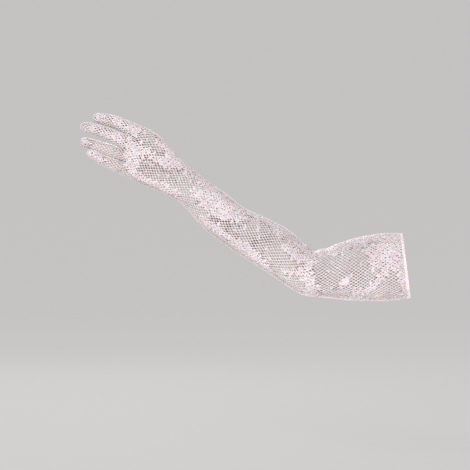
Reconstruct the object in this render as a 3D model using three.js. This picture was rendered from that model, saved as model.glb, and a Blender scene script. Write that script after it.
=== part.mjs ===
// Lace opera glove for a left hand, in the form it keeps on a slightly bent arm, about 560 mm long.
// Two lace panels, one over the back of the hand and arm and one under the palm and arm, are joined by
// a single seam that runs up one side, round each finger and the thumb, and back down the other side.
// A narrow hem finishes the cuff. Millimetres, +Z up, +X out of the cuff, and -Y towards the viewer who
// sees the back of the hand. The origin is the middle of the cuff's opening, where the arm goes in.

import * as THREE from "three";

// Thicknesses and widths of the cloth pieces.
const WALL = 1.0; // stretch lace
const GAP = 0.5; // clearance between neighbouring pieces
const SEAM_WIDTH = 3.0; // overlocked seam, across
const SEAM_PROUD = 0.5; // it stands this far out of the lace
const SEAM_INSIDE = 0.3; // and this far inside it
const HEM_WIDTH = 5.0; // narrow hem at the cuff, along the arm
const HEM_PROUD = 0.4;

// Sections of the sleeve and hand, from the cuff to the roots of the fingers. top and bottom are the
// outline seen from the front, as [x, z]: the seam runs along them. y is the depth of the section's
// middle, thick its size from front to back, and flat how far it goes from an oval to a flat hand.
const SECTIONS = [
  { name: "cuff", top: [-6, 48], bottom: [6, -48], y: 0, thick: 93, flat: 0 },
  { name: "upper arm 1", top: [-33, 48], bottom: [-31, -52], y: 3, thick: 93, flat: 0 },
  { name: "upper arm 2", top: [-62, 44], bottom: [-60, -52], y: 6, thick: 91, flat: 0 },
  { name: "upper arm 3", top: [-86, 38], bottom: [-90, -51], y: 8, thick: 88, flat: 0 },
  { name: "upper arm 4", top: [-110, 30], bottom: [-119, -48], y: 10, thick: 86, flat: 0 },
  { name: "elbow 1", top: [-128, 26], bottom: [-140, -46], y: 11, thick: 84, flat: 0 },
  { name: "elbow 2", top: [-141, 25], bottom: [-157, -43], y: 12, thick: 83, flat: 0 },
  { name: "elbow 3", top: [-155, 35], bottom: [-175, -33], y: 14, thick: 82, flat: 0 },
  { name: "forearm 1", top: [-172, 49], bottom: [-196, -18], y: 17, thick: 80, flat: 0 },
  { name: "forearm 2", top: [-192, 62], bottom: [-222, -1], y: 21, thick: 77, flat: 0 },
  { name: "forearm 3", top: [-217, 74], bottom: [-252, 18], y: 26, thick: 73, flat: 0 },
  { name: "forearm 4", top: [-246, 88], bottom: [-285, 41], y: 32, thick: 66, flat: 0 },
  { name: "forearm 5", top: [-274, 110], bottom: [-311, 63], y: 37, thick: 57, flat: 0 },
  { name: "forearm 6", top: [-299, 127], bottom: [-334, 90], y: 41, thick: 47, flat: 0.05 },
  { name: "wrist", top: [-319, 143], bottom: [-353, 104], y: 44, thick: 40, flat: 0.15 },
  { name: "heel of hand", top: [-335, 156], bottom: [-372, 113], y: 46, thick: 40, flat: 0.35 },
  { name: "hand 1", top: [-351, 173], bottom: [-393, 121], y: 47.5, thick: 39, flat: 0.6 },
  { name: "hand 2", top: [-368, 191], bottom: [-409, 129], y: 48.5, thick: 35, flat: 0.8 },
  { name: "knuckles", top: [-386, 205], bottom: [-425, 136], y: 49, thick: 29, flat: 1 },
  { name: "finger roots", top: [-407, 215], bottom: [-439, 143], y: 49, thick: 23, flat: 1 },
];
const ROWS_PER_SECTION = 2;

// Where neighbouring fingers part, from the little finger's outer side to the index finger's.
const CROTCHES = [
  { name: "little outer side", at: [-438, 50, 143] },
  { name: "little and ring", at: [-426, 48, 158] },
  { name: "ring and middle", at: [-430, 47.5, 177] },
  { name: "middle and index", at: [-422, 48.5, 199] },
  { name: "index outer side", at: [-407, 51, 215] },
];
const WEB_DEPTH = 3.0; // the lace dips this far between two knuckles before it reaches the crotch
const LOW_RISE = 0.72; // height of the lace beside a crotch, as a share of half the finger's width
const FULL_RISE = 1.14; // and over the finger's root
const DISTAL = new THREE.Vector3(-0.94, 0.15, 0.28).normalize(); // the way the fingers point

// Fingers from the little finger to the index finger, then the thumb. Each bends through middle, the
// joint in its middle, to tip. The widths are across it at its root, middle and last joint.
const FINGERS = [
  { name: "little", middle: [-452, 49, 157], tip: [-483, 52, 174], widths: [17.5, 16, 12.5] },
  { name: "ring", middle: [-457, 52, 178], tip: [-495, 62, 191], widths: [18.5, 17.3, 14.3] },
  { name: "middle", middle: [-458, 55, 203], tip: [-495, 68, 214], widths: [19, 17, 14.3] },
  { name: "index", middle: [-445, 58, 220], tip: [-476, 71, 227], widths: [19.5, 18.5, 14.5] },
];
const THUMB = { name: "thumb", middle: [-373, 90, 163], tip: [-426, 92, 180], widths: [24, 22, 18] };
const THUMB_NECK = 0.5; // its first ring lies this far from the loop it grows from to its next ring
const MIDDLE_SHARE = 0.45; // where on a finger's length its middle and last widths hold
const JOINT_SHARE = 0.85;
const FINGER_RINGS = [0.25, 0.38, 0.51, 0.64, 0.76, 0.87, 0.96]; // shares of a finger's length
const THUMB_RINGS = [0.3, 0.42, 0.54, 0.66, 0.78, 0.88, 0.96];
const CAP_REACH = 0.62; // the closing row of a fingertip spans this much of its last ring

// Vertices round the sleeve and round a finger. The seam has one on each side.
const FINGER_SPAN = 3; // sleeve columns that one finger takes on each panel
const HALF = FINGERS.length * FINGER_SPAN + 2; // columns from seam to seam
const AROUND = 2 * HALF;
const FLAT_EDGE = 0.92; // outermost columns of a flat hand, as a share of its half width
const FLAT_POWER = 2.6; // roundness of a flat hand's section
const THUMB_ROWS = [29, 34]; // rows of the sleeve between which the thumb grows out of the palm
const THUMB_EDGE = HALF + 3; // and the column up to which it does, from the seam
const THUMB_BACK = new THREE.Vector3(0.25, 0.4, 0.88).normalize(); // its back panel faces this way

// Folds in the lace: a row each, with the row and column where it is deepest, its depth, and its reach
// in rows and columns. They gather in the bend of the elbow and fan out from it.
const FOLDS = [
  { name: "elbow crease", row: 11.5, column: 14, depth: 4.5, rows: 0.9, columns: 3.2 },
  { name: "elbow crease, arm side", row: 9.0, column: 12.5, depth: 2.4, rows: 0.7, columns: 2.6 },
  { name: "elbow crease, far side", row: 9.4, column: 16, depth: 2.4, rows: 0.7, columns: 2.6 },
  { name: "elbow crease, forearm side", row: 14.0, column: 13, depth: 2.0, rows: 0.8, columns: 2.4 },
  { name: "slack under the cuff", row: 3.5, column: 5, depth: 2.2, rows: 1.4, columns: 2.2 },
  { name: "slack at the wrist", row: 27.5, column: 5, depth: 1.2, rows: 0.8, columns: 2.4 },
];

// Piercings: the openwork between the lace's flower sprays, one diamond gap a cell, in bands of rows
// and columns that hold no spray. columns count from the seam on the little finger's side.
const PIERCED_BANDS = [
  { name: "under the cuff spray", rows: [1, 3], columns: [3, 6] },
  { name: "upper arm", rows: [4, 8], columns: [6, 11] },
  { name: "forearm by the elbow", rows: [13, 19], columns: [4, 10] },
  { name: "forearm by the wrist", rows: [24, 27], columns: [3, 8] },
  { name: "beside the index knuckle", rows: [32, 34], columns: [8, 11] },
  { name: "under the arm", rows: [3, 8], columns: [17, 23] },
  { name: "inner forearm", rows: [13, 19], columns: [18, 24] },
  { name: "inner wrist", rows: [24, 27], columns: [18, 22] },
];
const PIERCING_SIZE = 0.66; // a gap's corners, as a share of the way from its cell's middle to its edge

const vector = (list) => new THREE.Vector3(...list);
const mix = (a, b, share) => a + (b - a) * share;

// Cubic curve through evenly numbered values, at a place between two of them.
function throughValues(values, place) {
  const last = values.length - 1;
  const i = Math.min(Math.floor(place), last - 1);
  const t = place - i;
  const [a, b, c, d] = [i - 1, i, i + 1, i + 2].map((k) => values[Math.max(0, Math.min(last, k))]);
  return 0.5 * (2 * b + (c - a) * t + (2 * a - 5 * b + 4 * c - d) * t * t + (3 * b - a - 3 * c + d) * t ** 3);
}

// A section of the sleeve at a row: its middle, the way to the seam on top, and its way to the back
// of the hand.
const ROWS = (SECTIONS.length - 1) * ROWS_PER_SECTION;

function outlineAt(row) {
  const place = row / ROWS_PER_SECTION;
  const value = (pick) => throughValues(SECTIONS.map(pick), place);
  const y = value((s) => s.y);
  const top = new THREE.Vector3(value((s) => s.top[0]), y, value((s) => s.top[1]));
  const bottom = new THREE.Vector3(value((s) => s.bottom[0]), y, value((s) => s.bottom[1]));
  return { top, bottom, thick: value((s) => s.thick), flat: Math.max(0, value((s) => s.flat)) };
}

function sectionAt(row) {
  const { top, bottom, thick, flat } = outlineAt(row);
  const middleOf = (r) => {
    const at = outlineAt(Math.max(0, Math.min(ROWS, r)));
    return at.top.clone().add(at.bottom).multiplyScalar(0.5);
  };
  const middle = middleOf(row);
  const along = middleOf(row + 0.5).sub(middleOf(row - 0.5)).normalize();
  const across = top.clone().sub(bottom);
  const width = across.length();
  across.normalize();
  const back = across.clone().cross(along).normalize();
  return { middle, across, back, width, thick, flat };
}

// A point of a section's outline for one column, as shares of its half width and half thickness.
function sectionShape(column, flat) {
  const angle = Math.PI * (1 - column / HALF);
  const side = column % HALF === 0 ? 0 : column < HALF ? 1 : -1;
  const fromSeam = side < 0 ? AROUND - column : column;
  const edge = side === 0 ? Math.cos(angle) : mix(-FLAT_EDGE, FLAT_EDGE, (fromSeam - 1) / (HALF - 2));
  const height = side * (1 - Math.abs(edge) ** FLAT_POWER) ** (1 / FLAT_POWER);
  return [mix(Math.cos(angle), edge, flat), mix(Math.sin(angle), height, flat)];
}

// How far the folds press the lace in at a row and column.
function foldDepth(row, column) {
  return FOLDS.reduce((sum, fold) => {
    const rows = (row - fold.row) / fold.rows;
    const columns = (column - fold.column) / fold.columns;
    return sum + fold.depth * Math.exp(-rows * rows - columns * columns);
  }, 0);
}

// The glove's surface is one mesh of four-sided cells. vertices holds its points, and each cell knows
// its panel and, on the sleeve, its row and column.
const vertices = [];
const cells = [];
const addVertex = (point) => vertices.push(point) - 1;
const addCell = (corners, panel, place = null) => cells.push({ corners, panel, place });

const sleeve = [];
for (let row = 0; row < ROWS; row++) {
  const { middle, across, back, width, thick, flat } = sectionAt(row);
  sleeve.push(
    Array.from({ length: AROUND }, (_, column) => {
      const [u, v] = sectionShape(column, flat);
      const inset = foldDepth(row, column);
      const point = middle.clone();
      point.addScaledVector(across, (u * width) / 2);
      point.addScaledVector(back, (v * thick) / 2);
      const inward = middle.clone().sub(point).normalize();
      return addVertex(point.addScaledVector(inward, inset));
    }),
  );
}

// The last row follows the roots of the fingers: it rises over each finger and dips at each crotch.
const roots = sectionAt(ROWS);
const crotches = CROTCHES.map((c) => vector(c.at));
const webs = [];
const lastRow = new Array(AROUND);
crotches.forEach((crotch, k) => {
  const isEnd = k === 0 || k === crotches.length - 1;
  const column = isEnd ? (k === 0 ? 0 : HALF) : 1 + k * FINGER_SPAN;
  const point = addVertex(crotch);
  if (isEnd) lastRow[column] = point;
  else webs[k] = point;
});
FINGERS.forEach((finger, f) => {
  for (let step = 0; step <= FINGER_SPAN; step++) {
    const column = 1 + f * FINGER_SPAN + step;
    const isEdge = column === 1 || column === HALF - 1;
    const isCrotch = step % FINGER_SPAN === 0 && !isEdge;
    const share = isEdge ? (column === 1 ? 0.12 : 0.88) : step / FINGER_SPAN;
    const base = crotches[f].clone().lerp(crotches[f + 1], share);
    base.addScaledVector(DISTAL, isCrotch ? -WEB_DEPTH : 0);
    const rise = (finger.widths[0] / 2) * (isEdge || isCrotch ? LOW_RISE : FULL_RISE);
    [[column, 1], [AROUND - column, -1]].forEach(([place, side]) => {
      if (lastRow[place] === undefined)
        lastRow[place] = addVertex(base.clone().addScaledVector(roots.back, side * rise));
    });
  }
});
sleeve.push(lastRow);

const isThumbHole = (row, column) =>
  row >= THUMB_ROWS[0] && row < THUMB_ROWS[1] && column >= HALF && column < THUMB_EDGE;
for (let row = 0; row < ROWS; row++)
  for (let column = 0; column < AROUND; column++) {
    if (isThumbHole(row, column)) continue;
    const next = (column + 1) % AROUND;
    const corners = [sleeve[row][column], sleeve[row][next], sleeve[row + 1][next], sleeve[row + 1][column]];
    addCell(corners, column < HALF ? "back" : "palm", { row, column });
  }

// Width of a finger at a share of its length: through its three widths, then rounded off at the tip.
function fingerWidth(widths, share) {
  const [root, middle, joint] = widths;
  const straight =
    share < MIDDLE_SHARE
      ? mix(root, middle, share / MIDDLE_SHARE)
      : mix(middle, joint, Math.min(1, (share - MIDDLE_SHARE) / (JOINT_SHARE - MIDDLE_SHARE)));
  const pastJoint = Math.max(0, (share - JOINT_SHARE) / (1 - JOINT_SHARE));
  return straight * Math.sqrt(1 - 0.82 * pastJoint ** 2);
}

// Grows a finger out of a loop of vertices. Half of the loop, from its first vertex to its middle one,
// belongs to the back panel. Returns the seam's vertices up its first side and down its other side.
function growFinger(loop, finger, backHint, shares, neck = 0) {
  const count = loop.length;
  const half = count / 2;
  const root = loop.reduce((sum, i) => sum.add(vertices[i]), new THREE.Vector3()).divideScalar(count);
  const tip = vector(finger.tip);
  const control = vector(finger.middle).multiplyScalar(2);
  control.addScaledVector(root, -0.5).addScaledVector(tip, -0.5);
  const line = new THREE.QuadraticBezierCurve3(root, control, tip);
  const frameAt = (share) => {
    const along = line.getTangent(share);
    const across = along.clone().cross(backHint).normalize();
    return { centre: line.getPoint(share), across, back: across.clone().cross(along).normalize() };
  };
  const pointAt = (share, u, v) => {
    const { centre, across, back } = frameAt(share);
    const radius = fingerWidth(finger.widths, share) / 2;
    return centre.addScaledVector(across, u * radius).addScaledVector(back, v * radius);
  };
  const rings = [loop];
  const roundAt = (share, k) => {
    const angle = Math.PI * (1 - k / half);
    return pointAt(share, Math.cos(angle), Math.sin(angle));
  };
  if (neck)
    rings.push(loop.map((i, k) => addVertex(vertices[i].clone().lerp(roundAt(shares[0], k), neck))));
  for (const share of shares) rings.push(loop.map((_, k) => addVertex(roundAt(share, k))));
  for (let r = 0; r + 1 < rings.length; r++)
    for (let k = 0; k < count; k++) {
      const next = (k + 1) % count;
      addCell([rings[r][k], rings[r][next], rings[r + 1][next], rings[r + 1][k]], k < half ? "back" : "palm");
    }
  // The fingertip closes on a short row of vertices that carries the seam over it.
  const last = rings[rings.length - 1];
  const capRow = [];
  const lastShare = shares[shares.length - 1];
  for (let k = 1; k < half; k++) {
    const u = Math.cos(Math.PI * (1 - k / half)) * CAP_REACH;
    const reach = mix(lastShare, 1, Math.sqrt(1 - u * u));
    const { centre, across } = frameAt(reach);
    const width = fingerWidth(finger.widths, lastShare);
    capRow.push(addVertex(centre.addScaledVector(across, (u * width) / 2)));
  }
  const capEnd = capRow.length - 1;
  addCell([last[0], last[1], capRow[0]], "back");
  addCell([last[count - 1], last[0], capRow[0]], "palm");
  addCell([last[half - 1], last[half], capRow[capEnd]], "back");
  addCell([last[half], last[half + 1], capRow[capEnd]], "palm");
  for (let k = 0; k < capEnd; k++) {
    addCell([last[k + 1], last[k + 2], capRow[k + 1], capRow[k]], "back");
    addCell([capRow[k], capRow[k + 1], last[count - 2 - k], last[count - 1 - k]], "palm");
  }
  const up = rings.slice(1).map((ring) => ring[0]);
  const down = rings.slice(1).map((ring) => ring[half]).reverse();
  return [...up, ...capRow, ...down];
}

const seamPath = sleeve.map((ring) => ring[0]);
FINGERS.forEach((finger, f) => {
  const first = 1 + f * FINGER_SPAN;
  const loop = [f === 0 ? lastRow[0] : webs[f]];
  for (let step = 0; step <= FINGER_SPAN; step++) loop.push(lastRow[first + step]);
  loop.push(f === FINGERS.length - 1 ? lastRow[HALF] : webs[f + 1]);
  for (let step = FINGER_SPAN; step >= 0; step--) loop.push(lastRow[AROUND - first - step]);
  seamPath.push(...growFinger(loop, finger, roots.back, FINGER_RINGS));
  seamPath.push(f === FINGERS.length - 1 ? lastRow[HALF] : webs[f + 1]);
});

// The thumb grows out of the palm beside the seam, which goes round it on the way down the hand.
const [thumbLow, thumbHigh] = THUMB_ROWS;
const thumbRows = Array.from({ length: thumbHigh - thumbLow + 1 }, (_, k) => thumbLow + k);
const thumbLoop = [
  sleeve[thumbHigh][HALF + 1],
  ...[...thumbRows].reverse().map((row) => sleeve[row][HALF]),
  sleeve[thumbLow][HALF + 1],
  sleeve[thumbLow][HALF + 2],
  ...thumbRows.map((row) => sleeve[row][THUMB_EDGE]),
  sleeve[thumbHigh][HALF + 2],
];
for (let row = ROWS - 1; row >= thumbHigh; row--) seamPath.push(sleeve[row][HALF]);
seamPath.push(thumbLoop[0]);
seamPath.push(...growFinger(thumbLoop, THUMB, THUMB_BACK, THUMB_RINGS, THUMB_NECK));
seamPath.push(sleeve[thumbLow][HALF + 2], sleeve[thumbLow][HALF + 1]);
for (let row = thumbLow; row >= 0; row--) seamPath.push(sleeve[row][HALF]);

// Outward normal of the surface at each vertex, from the corners that the cells make there.
const normals = vertices.map(() => new THREE.Vector3());
for (const { corners } of cells)
  corners.forEach((i, k) => {
    const toNext = vertices[corners[(k + 1) % corners.length]].clone().sub(vertices[i]);
    const toLast = vertices[corners[(k + corners.length - 1) % corners.length]].clone().sub(vertices[i]);
    const facing = toNext.clone().cross(toLast).normalize();
    normals[i].addScaledVector(facing, toNext.angleTo(toLast));
  });
normals.forEach((n) => n.normalize());

// At each vertex of the seam: the way along it, and across it towards the back panel.
const seamFrames = new Map();
const seamPoint = (k) => vertices[seamPath[Math.max(0, Math.min(seamPath.length - 1, k))]];
function centreOf({ corners }) {
  const sum = corners.reduce((total, i) => total.add(vertices[i]), new THREE.Vector3());
  return sum.divideScalar(corners.length);
}
const sideSums = vertices.map(() => ({ back: new THREE.Vector3(), palm: new THREE.Vector3() }));
for (const cell of cells)
  for (const i of cell.corners) sideSums[i][cell.panel].add(centreOf(cell).sub(vertices[i]).normalize());
const rawFrames = seamPath.map((i, k) => {
  const along = seamPoint(k + 1).clone().sub(seamPoint(k - 1)).normalize();
  const out = normals[i].clone().addScaledVector(along, -normals[i].dot(along)).normalize();
  const toBack = sideSums[i].back.clone().sub(sideSums[i].palm);
  return { out, across: toBack.addScaledVector(out, -toBack.dot(out)).normalize() };
});
seamPath.forEach((i, k) => {
  const near = [-1, 0, 1].map((n) => rawFrames[Math.max(0, Math.min(k + n, rawFrames.length - 1))]);
  const out = near[1].out.clone();
  const across = near[1].across.clone().multiplyScalar(2).add(near[0].across).add(near[2].across);
  across.addScaledVector(out, -across.dot(out)).normalize();
  seamFrames.set(i, { out, across });
  normals[i].copy(out);
});

// The hem takes the sleeve's first few millimetres, so the panels and the seam start behind it.
const hemShift = (column, distance) => {
  const from = vertices[sleeve[0][column]];
  const to = vertices[sleeve[1][column]];
  return to.clone().sub(from).setLength(distance);
};
const cuffColumn = new Map(sleeve[0].map((i, column) => [i, column]));
const behindHem = (i) =>
  cuffColumn.has(i)
    ? vertices[i].clone().add(hemShift(cuffColumn.get(i), HEM_WIDTH + GAP))
    : vertices[i].clone();

// Turns lists of points and corner lists into the geometry of one solid.
function solidFrom(points, polygons) {
  const indices = [];
  for (const p of polygons) {
    if (p.length === 3) {
      indices.push(...p);
      continue;
    }
    const [a, b, c, d] = p;
    const acrossFirst = points[a].distanceTo(points[c]) <= points[b].distanceTo(points[d]);
    if (acrossFirst) indices.push(a, b, c, a, c, d);
    else indices.push(a, b, d, b, c, d);
  }
  const geometry = new THREE.BufferGeometry().setFromPoints(points);
  geometry.setIndex(indices);
  geometry.computeVertexNormals();
  return geometry;
}

const isPierced = ({ row, column }) =>
  (row + column) % 2 === 0 &&
  PIERCED_BANDS.some(
    ({ rows, columns }) =>
      row >= rows[0] && row <= rows[1] && column >= columns[0] && column <= columns[1],
  );
const pierced = new Set(cells.filter((cell) => cell.place && isPierced(cell.place)));

// A lace panel: its cells as an outer and an inner face, a wall round its edge, and its piercings.
function panelSolid(panel) {
  const own = cells.filter((cell) => cell.panel === panel);
  const side = panel === "back" ? 1 : -1;
  const outer = new Map();
  const points = [];
  for (const cell of own)
    for (const i of cell.corners) {
      if (outer.has(i)) continue;
      const point = behindHem(i);
      const frame = seamFrames.get(i);
      if (frame) point.addScaledVector(frame.across, side * (SEAM_WIDTH / 2 + GAP));
      outer.set(i, points.length);
      points.push(point, point.clone().addScaledVector(normals[i], -WALL));
    }
  const polygons = [];
  const addBothFaces = (ring) => {
    polygons.push(ring);
    polygons.push(ring.map((i) => i + 1).reverse());
  };
  const directed = new Set();
  for (const cell of own) {
    const ring = cell.corners.map((i) => outer.get(i));
    ring.forEach((a, k) => directed.add(`${a},${ring[(k + 1) % ring.length]}`));
    if (!pierced.has(cell)) {
      addBothFaces(ring);
      continue;
    }
    const middle = ring.reduce((sum, i) => sum.add(points[i]), new THREE.Vector3()).divideScalar(4);
    const gap = ring.map((a, k) => {
      const edgeMiddle = points[a].clone().lerp(points[ring[(k + 1) % 4]], 0.5);
      const corner = middle.clone().lerp(edgeMiddle, PIERCING_SIZE);
      const inward = points[a + 1].clone().sub(points[a]);
      points.push(corner, corner.clone().add(inward));
      return points.length - 2;
    });
    gap.forEach((g, k) => {
      const before = gap[(k + 3) % 4];
      addBothFaces([ring[k], ring[(k + 1) % 4], g]);
      addBothFaces([ring[k], g, before]);
      polygons.push([before, g, g + 1, before + 1]);
    });
  }
  for (const edge of directed) {
    const [a, b] = edge.split(",").map(Number);
    if (!directed.has(`${b},${a}`)) polygons.push([b, a, a + 1, b + 1]);
  }
  return solidFrom(points, polygons);
}

// A band with a four-sided section, from rings of four corners that run the same way round.
function bandSolid(rings, isClosed) {
  const points = rings.flat();
  const polygons = [];
  const count = isClosed ? rings.length : rings.length - 1;
  for (let r = 0; r < count; r++) {
    const next = (r + 1) % rings.length;
    for (let k = 0; k < 4; k++)
      polygons.push([4 * r + k, 4 * r + ((k + 1) % 4), 4 * next + ((k + 1) % 4), 4 * next + k]);
  }
  if (!isClosed) {
    const end = 4 * (rings.length - 1);
    polygons.push([3, 2, 1, 0], [end, end + 1, end + 2, end + 3]);
  }
  return solidFrom(points, polygons);
}

function seamSolid() {
  const rings = seamPath.map((i) => {
    const { out, across } = seamFrames.get(i);
    const corner = (acrossBy, outBy) =>
      behindHem(i).addScaledVector(across, acrossBy).addScaledVector(out, outBy);
    const half = SEAM_WIDTH / 2;
    const inside = -(WALL + SEAM_INSIDE);
    return [corner(half, SEAM_PROUD), corner(half, inside), corner(-half, inside), corner(-half, SEAM_PROUD)];
  });
  return bandSolid(rings, false);
}

function hemSolid() {
  const rings = sleeve[0].map((i, column) => {
    const back = hemShift(column, HEM_WIDTH);
    const corner = (shift, outBy) => vertices[i].clone().add(shift).addScaledVector(normals[i], outBy);
    const none = new THREE.Vector3();
    const inside = -(WALL + HEM_PROUD);
    return [corner(none, HEM_PROUD), corner(none, inside), corner(back, inside), corner(back, HEM_PROUD)];
  });
  return bandSolid(rings, true);
}

const LACE = { color: 0xf1e8ec, roughness: 0.85, metalness: 0 };
const THREAD = { color: 0xfbf6f7, roughness: 0.7, metalness: 0 };
function piece(name, geometry, look) {
  const mesh = new THREE.Mesh(geometry, new THREE.MeshStandardMaterial(look));
  mesh.name = name;
  return mesh;
}

const glove = new THREE.Group();
glove.add(piece("back_panel", panelSolid("back"), LACE));
glove.add(piece("palm_panel", panelSolid("palm"), LACE));
glove.add(piece("side_seam", seamSolid(), THREAD));
glove.add(piece("cuff_hem", hemSolid(), THREAD));

export default glove;
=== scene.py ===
# Lace opera glove for a left hand: two panels of knotted net with embroidered flower sprays, the
# overlocked seam that joins them round the hand and each finger, and the stitched hem of the cuff.
# Shapes are worked out in millimetres, in the same frame as the solids, and made in metres.

import math

import bpy
import numpy as np
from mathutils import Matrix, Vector
from mathutils.bvhtree import BVHTree


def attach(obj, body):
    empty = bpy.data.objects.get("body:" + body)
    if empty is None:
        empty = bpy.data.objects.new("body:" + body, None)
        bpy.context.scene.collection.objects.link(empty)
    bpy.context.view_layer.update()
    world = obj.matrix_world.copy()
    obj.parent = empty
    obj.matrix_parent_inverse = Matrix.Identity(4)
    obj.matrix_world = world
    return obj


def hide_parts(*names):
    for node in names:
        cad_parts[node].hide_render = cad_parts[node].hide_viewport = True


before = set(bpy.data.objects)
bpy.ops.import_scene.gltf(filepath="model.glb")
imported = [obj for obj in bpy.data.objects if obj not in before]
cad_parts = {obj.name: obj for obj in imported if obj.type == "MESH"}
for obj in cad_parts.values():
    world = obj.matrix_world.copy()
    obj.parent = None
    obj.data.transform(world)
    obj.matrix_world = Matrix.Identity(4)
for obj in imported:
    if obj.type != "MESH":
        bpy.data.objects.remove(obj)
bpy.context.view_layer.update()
MM = 0.001

# Camera: level with the glove, square on to the back of the hand, from 2.5 m away.
VIEW_MIDDLE = (-257.7, 46.0)
VIEW_DISTANCE = 2500.0
VIEW_WIDTH = 705.0
SENSOR = 36.0

camera_data = bpy.data.cameras.new("camera")
camera_data.sensor_width = SENSOR
camera_data.lens = SENSOR * VIEW_DISTANCE / VIEW_WIDTH
camera = bpy.data.objects.new("camera", camera_data)
camera.location = (VIEW_MIDDLE[0] * MM, -VIEW_DISTANCE * MM, VIEW_MIDDLE[1] * MM)
camera.rotation_euler = (math.radians(90), 0, 0)
bpy.context.scene.collection.objects.link(camera)
bpy.context.scene.camera = camera

# Sections from the cuff to the fingers' roots: ends as x and z, depth y, thickness and flatness.
SECTIONS = (
    (-6, 48, 6, -48, 0, 93, 0),
    (-33, 48, -31, -52, 3, 93, 0),
    (-62, 44, -60, -52, 6, 91, 0),
    (-86, 38, -90, -51, 8, 88, 0),
    (-110, 30, -119, -48, 10, 86, 0),
    (-128, 26, -140, -46, 11, 84, 0),
    (-141, 25, -157, -43, 12, 83, 0),
    (-155, 35, -175, -33, 14, 82, 0),
    (-172, 49, -196, -18, 17, 80, 0),
    (-192, 62, -222, -1, 21, 77, 0),
    (-217, 74, -252, 18, 26, 73, 0),
    (-246, 88, -285, 41, 32, 66, 0),
    (-274, 110, -311, 63, 37, 57, 0),
    (-299, 127, -334, 90, 41, 47, 0.05),
    (-319, 143, -353, 104, 44, 40, 0.15),
    (-335, 156, -372, 113, 46, 40, 0.35),
    (-351, 173, -393, 121, 47.5, 39, 0.6),
    (-368, 191, -409, 129, 48.5, 35, 0.8),
    (-386, 205, -425, 136, 49, 29, 1),
    (-407, 215, -439, 143, 49, 23, 1),
)
ROWS_PER_SECTION = 2
ROWS = (len(SECTIONS) - 1) * ROWS_PER_SECTION

# Where neighbouring fingers part, from the little finger's outer side to the index finger's.
CROTCHES = ((-438, 50, 143), (-426, 48, 158), (-430, 47.5, 177), (-422, 48.5, 199), (-407, 51, 215))
WEB_DEPTH = 3.0
LOW_RISE = 0.72
FULL_RISE = 1.14
END_SHARES = (0.12, 0.88)

# Fingers from the little to the index, then the thumb: middle joint, tip, and widths down the finger.
FINGERS = (
    {"middle": (-452, 49, 157), "tip": (-483, 52, 174), "widths": (17.5, 16, 12.5)},
    {"middle": (-457, 52, 178), "tip": (-495, 62, 191), "widths": (18.5, 17.3, 14.3)},
    {"middle": (-458, 55, 203), "tip": (-495, 68, 214), "widths": (19, 17, 14.3)},
    {"middle": (-445, 58, 220), "tip": (-476, 71, 227), "widths": (19.5, 18.5, 14.5)},
)
THUMB = {"middle": (-373, 90, 163), "tip": (-426, 92, 180), "widths": (24, 22, 18)}
THUMB_NECK = 0.5
THUMB_FLAT = 400.0
SIDE_RISE = 4.5
MIDDLE_SHARE = 0.45
JOINT_SHARE = 0.85
FINGER_RINGS = (0.25, 0.38, 0.51, 0.64, 0.76, 0.87, 0.96)
THUMB_RINGS = (0.3, 0.42, 0.54, 0.66, 0.78, 0.88, 0.96)
CAP_REACH = 0.62
TIP_TAPER = 0.82

FINGER_SPAN = 3
HALF = len(FINGERS) * FINGER_SPAN + 2
AROUND = 2 * HALF
FLAT_EDGE = 0.92
FLAT_POWER = 2.6
THUMB_ROWS = (29, 34)
THUMB_EDGE = HALF + 3

# Folds, most of them in the bend of the elbow: row, column, depth, and reach in rows and columns.
FOLDS = (
    (11.5, 14, 4.5, 0.9, 3.2),
    (9.0, 12.5, 2.4, 0.7, 2.6),
    (9.4, 16, 2.4, 0.7, 2.6),
    (14.0, 13, 2.0, 0.8, 2.4),
    (3.5, 5, 2.2, 1.4, 2.2),
    (27.5, 5, 1.2, 0.8, 2.4),
)

BACK, PALM = 0, 1
HAND, THUMB_PART = 0, 5
PARTS = 6


def unit(vector):
    return vector / np.linalg.norm(vector)


DISTAL = unit(np.array((-0.94, 0.15, 0.28)))
THUMB_BACK = unit(np.array((0.25, 0.4, 0.88)))


def unit_rows(rows):
    return rows / (np.linalg.norm(rows, axis=1)[:, None] + 1e-9)


def reach_along(points):
    """The length along a line of points up to each of them."""
    steps = [np.linalg.norm(b - a) for a, b in zip(points, points[1:])]
    return np.concatenate(([0.0], np.cumsum(steps)))


def mix(a, b, share):
    return a + (b - a) * share


def through_values(values, place):
    """Smooth curve through evenly numbered values, at a place between two of them."""
    last = len(values) - 1
    i = min(int(place), last - 1)
    t = place - i
    a, b, c, d = (values[max(0, min(last, k))] for k in (i - 1, i, i + 1, i + 2))
    bend = (2 * a - 5 * b + 4 * c - d) * t * t + (3 * b - a - 3 * c + d) * t**3
    return 0.5 * (2 * b + (c - a) * t + bend)


def outline_at(row):
    section = through_values(np.array(SECTIONS, float), row / ROWS_PER_SECTION)
    top_x, top_z, bottom_x, bottom_z, y, thick, flat = section
    return np.array((top_x, y, top_z)), np.array((bottom_x, y, bottom_z)), thick, max(0.0, flat)


def middle_at(row):
    top, bottom, _, _ = outline_at(max(0, min(ROWS, row)))
    return (top + bottom) / 2


def section_at(row):
    top, bottom, thick, flat = outline_at(row)
    along = unit(middle_at(row + 0.5) - middle_at(row - 0.5))
    across = unit(top - bottom)
    back = unit(np.cross(across, along))
    return middle_at(row), across, back, np.linalg.norm(top - bottom), thick, flat


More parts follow.
